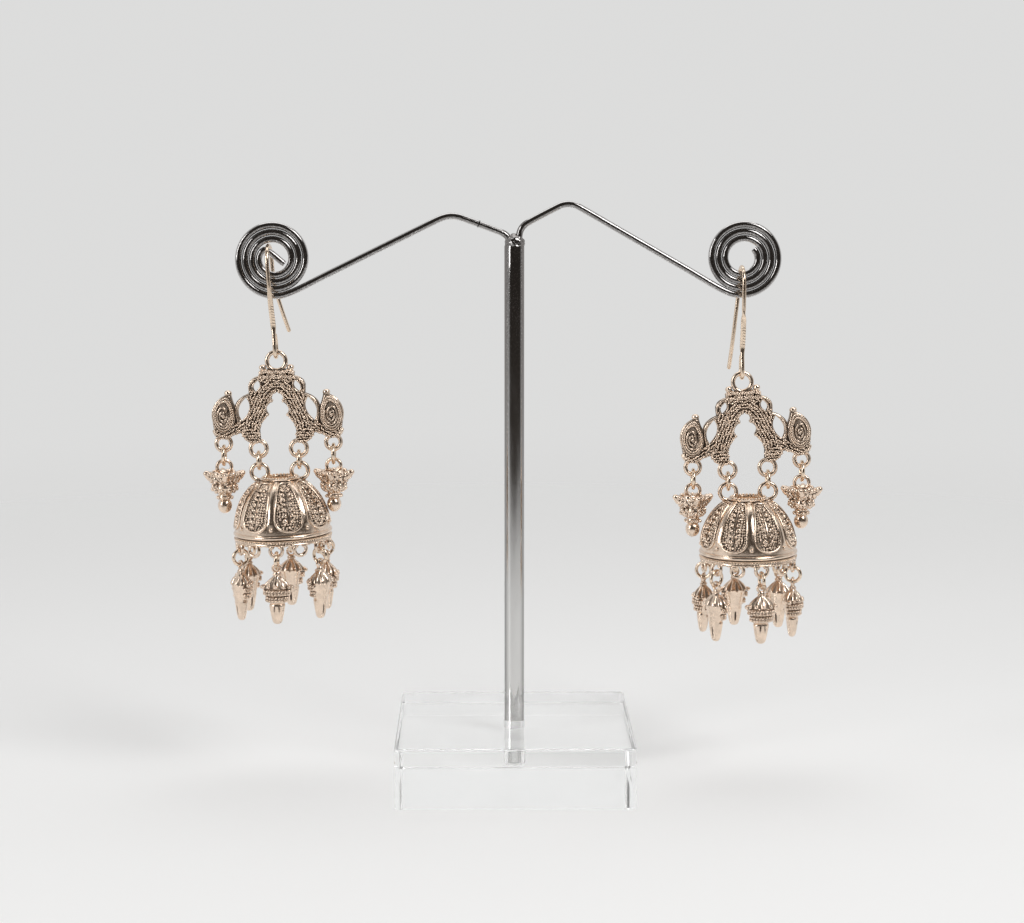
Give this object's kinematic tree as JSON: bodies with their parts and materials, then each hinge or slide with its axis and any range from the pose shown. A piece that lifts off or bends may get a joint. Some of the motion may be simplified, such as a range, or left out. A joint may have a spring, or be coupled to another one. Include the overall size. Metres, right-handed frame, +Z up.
{
  "type": "pair of bell drop earrings on a display stand",
  "caption": "Bell-shaped drop earrings in antique gold, each on an ear hook with an openwork arch and fringe of drops, hung on a wire stand with spiral arm ends and a clear block foot.",
  "frame": {"origin": "middle of the foot's underside, on the axis of the post", "axes": "+Z up along the post, +X to the right along the arms as seen from the front, +Y away from the viewer"},
  "size_m": [0.1308, 0.05, 0.124],
  "materials": {
    "clear_acrylic": "polished clear",
    "stand_steel": "bright drawn wire",
    "antique_gold": "antique plate with dark recesses"
  },
  "bodies": {
    "stand": {"stand_foot": "clear_acrylic", "stand_frame": "stand_steel", "left_ear_hook": "antique_gold", "right_ear_hook": "antique_gold"},
    "left_pendant": {"left_frame": "antique_gold", "left_side_link_1": "antique_gold", "left_side_link_2": "antique_gold", "left_side_drop_1": "antique_gold", "left_side_drop_2": "antique_gold"},
    "left_bell": {"left_dome": "antique_gold", "left_dome_link_1": "antique_gold", "left_dome_link_2": "antique_gold", "left_rim_link_1": "antique_gold", "left_rim_link_2": "antique_gold", "left_rim_link_3": "antique_gold", "left_rim_link_4": "antique_gold", "left_rim_link_5": "antique_gold", "left_rim_link_6": "antique_gold", "left_rim_drop_1": "antique_gold", "left_rim_drop_2": "antique_gold", "left_rim_drop_3": "antique_gold", "left_rim_drop_4": "antique_gold", "left_rim_drop_5": "antique_gold", "left_rim_drop_6": "antique_gold"},
    "right_pendant": {"right_frame": "antique_gold", "right_side_link_1": "antique_gold", "right_side_link_2": "antique_gold", "right_side_drop_1": "antique_gold", "right_side_drop_2": "antique_gold"},
    "right_bell": {"right_dome": "antique_gold", "right_dome_link_1": "antique_gold", "right_dome_link_2": "antique_gold", "right_rim_link_1": "antique_gold", "right_rim_link_2": "antique_gold", "right_rim_link_3": "antique_gold", "right_rim_link_4": "antique_gold", "right_rim_link_5": "antique_gold", "right_rim_link_6": "antique_gold", "right_rim_drop_1": "antique_gold", "right_rim_drop_2": "antique_gold", "right_rim_drop_3": "antique_gold", "right_rim_drop_4": "antique_gold", "right_rim_drop_5": "antique_gold", "right_rim_drop_6": "antique_gold"}
  },
  "joints": [
    {"name": "left_frame_swing", "type": "hinge", "parent": "stand", "child": "left_pendant", "pos_m": [-0.05019, 0, 0.09235], "axis": [0.9999, 0, 0.014], "range_deg": [-40, 40]},
    {"name": "left_dome_swing", "type": "hinge", "parent": "left_pendant", "child": "left_bell", "pos_m": [-0.04988, 0, 0.07025], "axis": [0.9999, 0, 0.014], "range_deg": [-60, 60]},
    {"name": "right_frame_swing", "type": "hinge", "parent": "stand", "child": "right_pendant", "pos_m": [0.04809, 0, 0.08776], "axis": [0.9973, 0, 0.0732], "range_deg": [-40, 40]},
    {"name": "right_dome_swing", "type": "hinge", "parent": "right_pendant", "child": "right_bell", "pos_m": [0.04971, 0, 0.06572], "axis": [0.9973, 0, 0.0732], "range_deg": [-60, 60]}
  ]
}
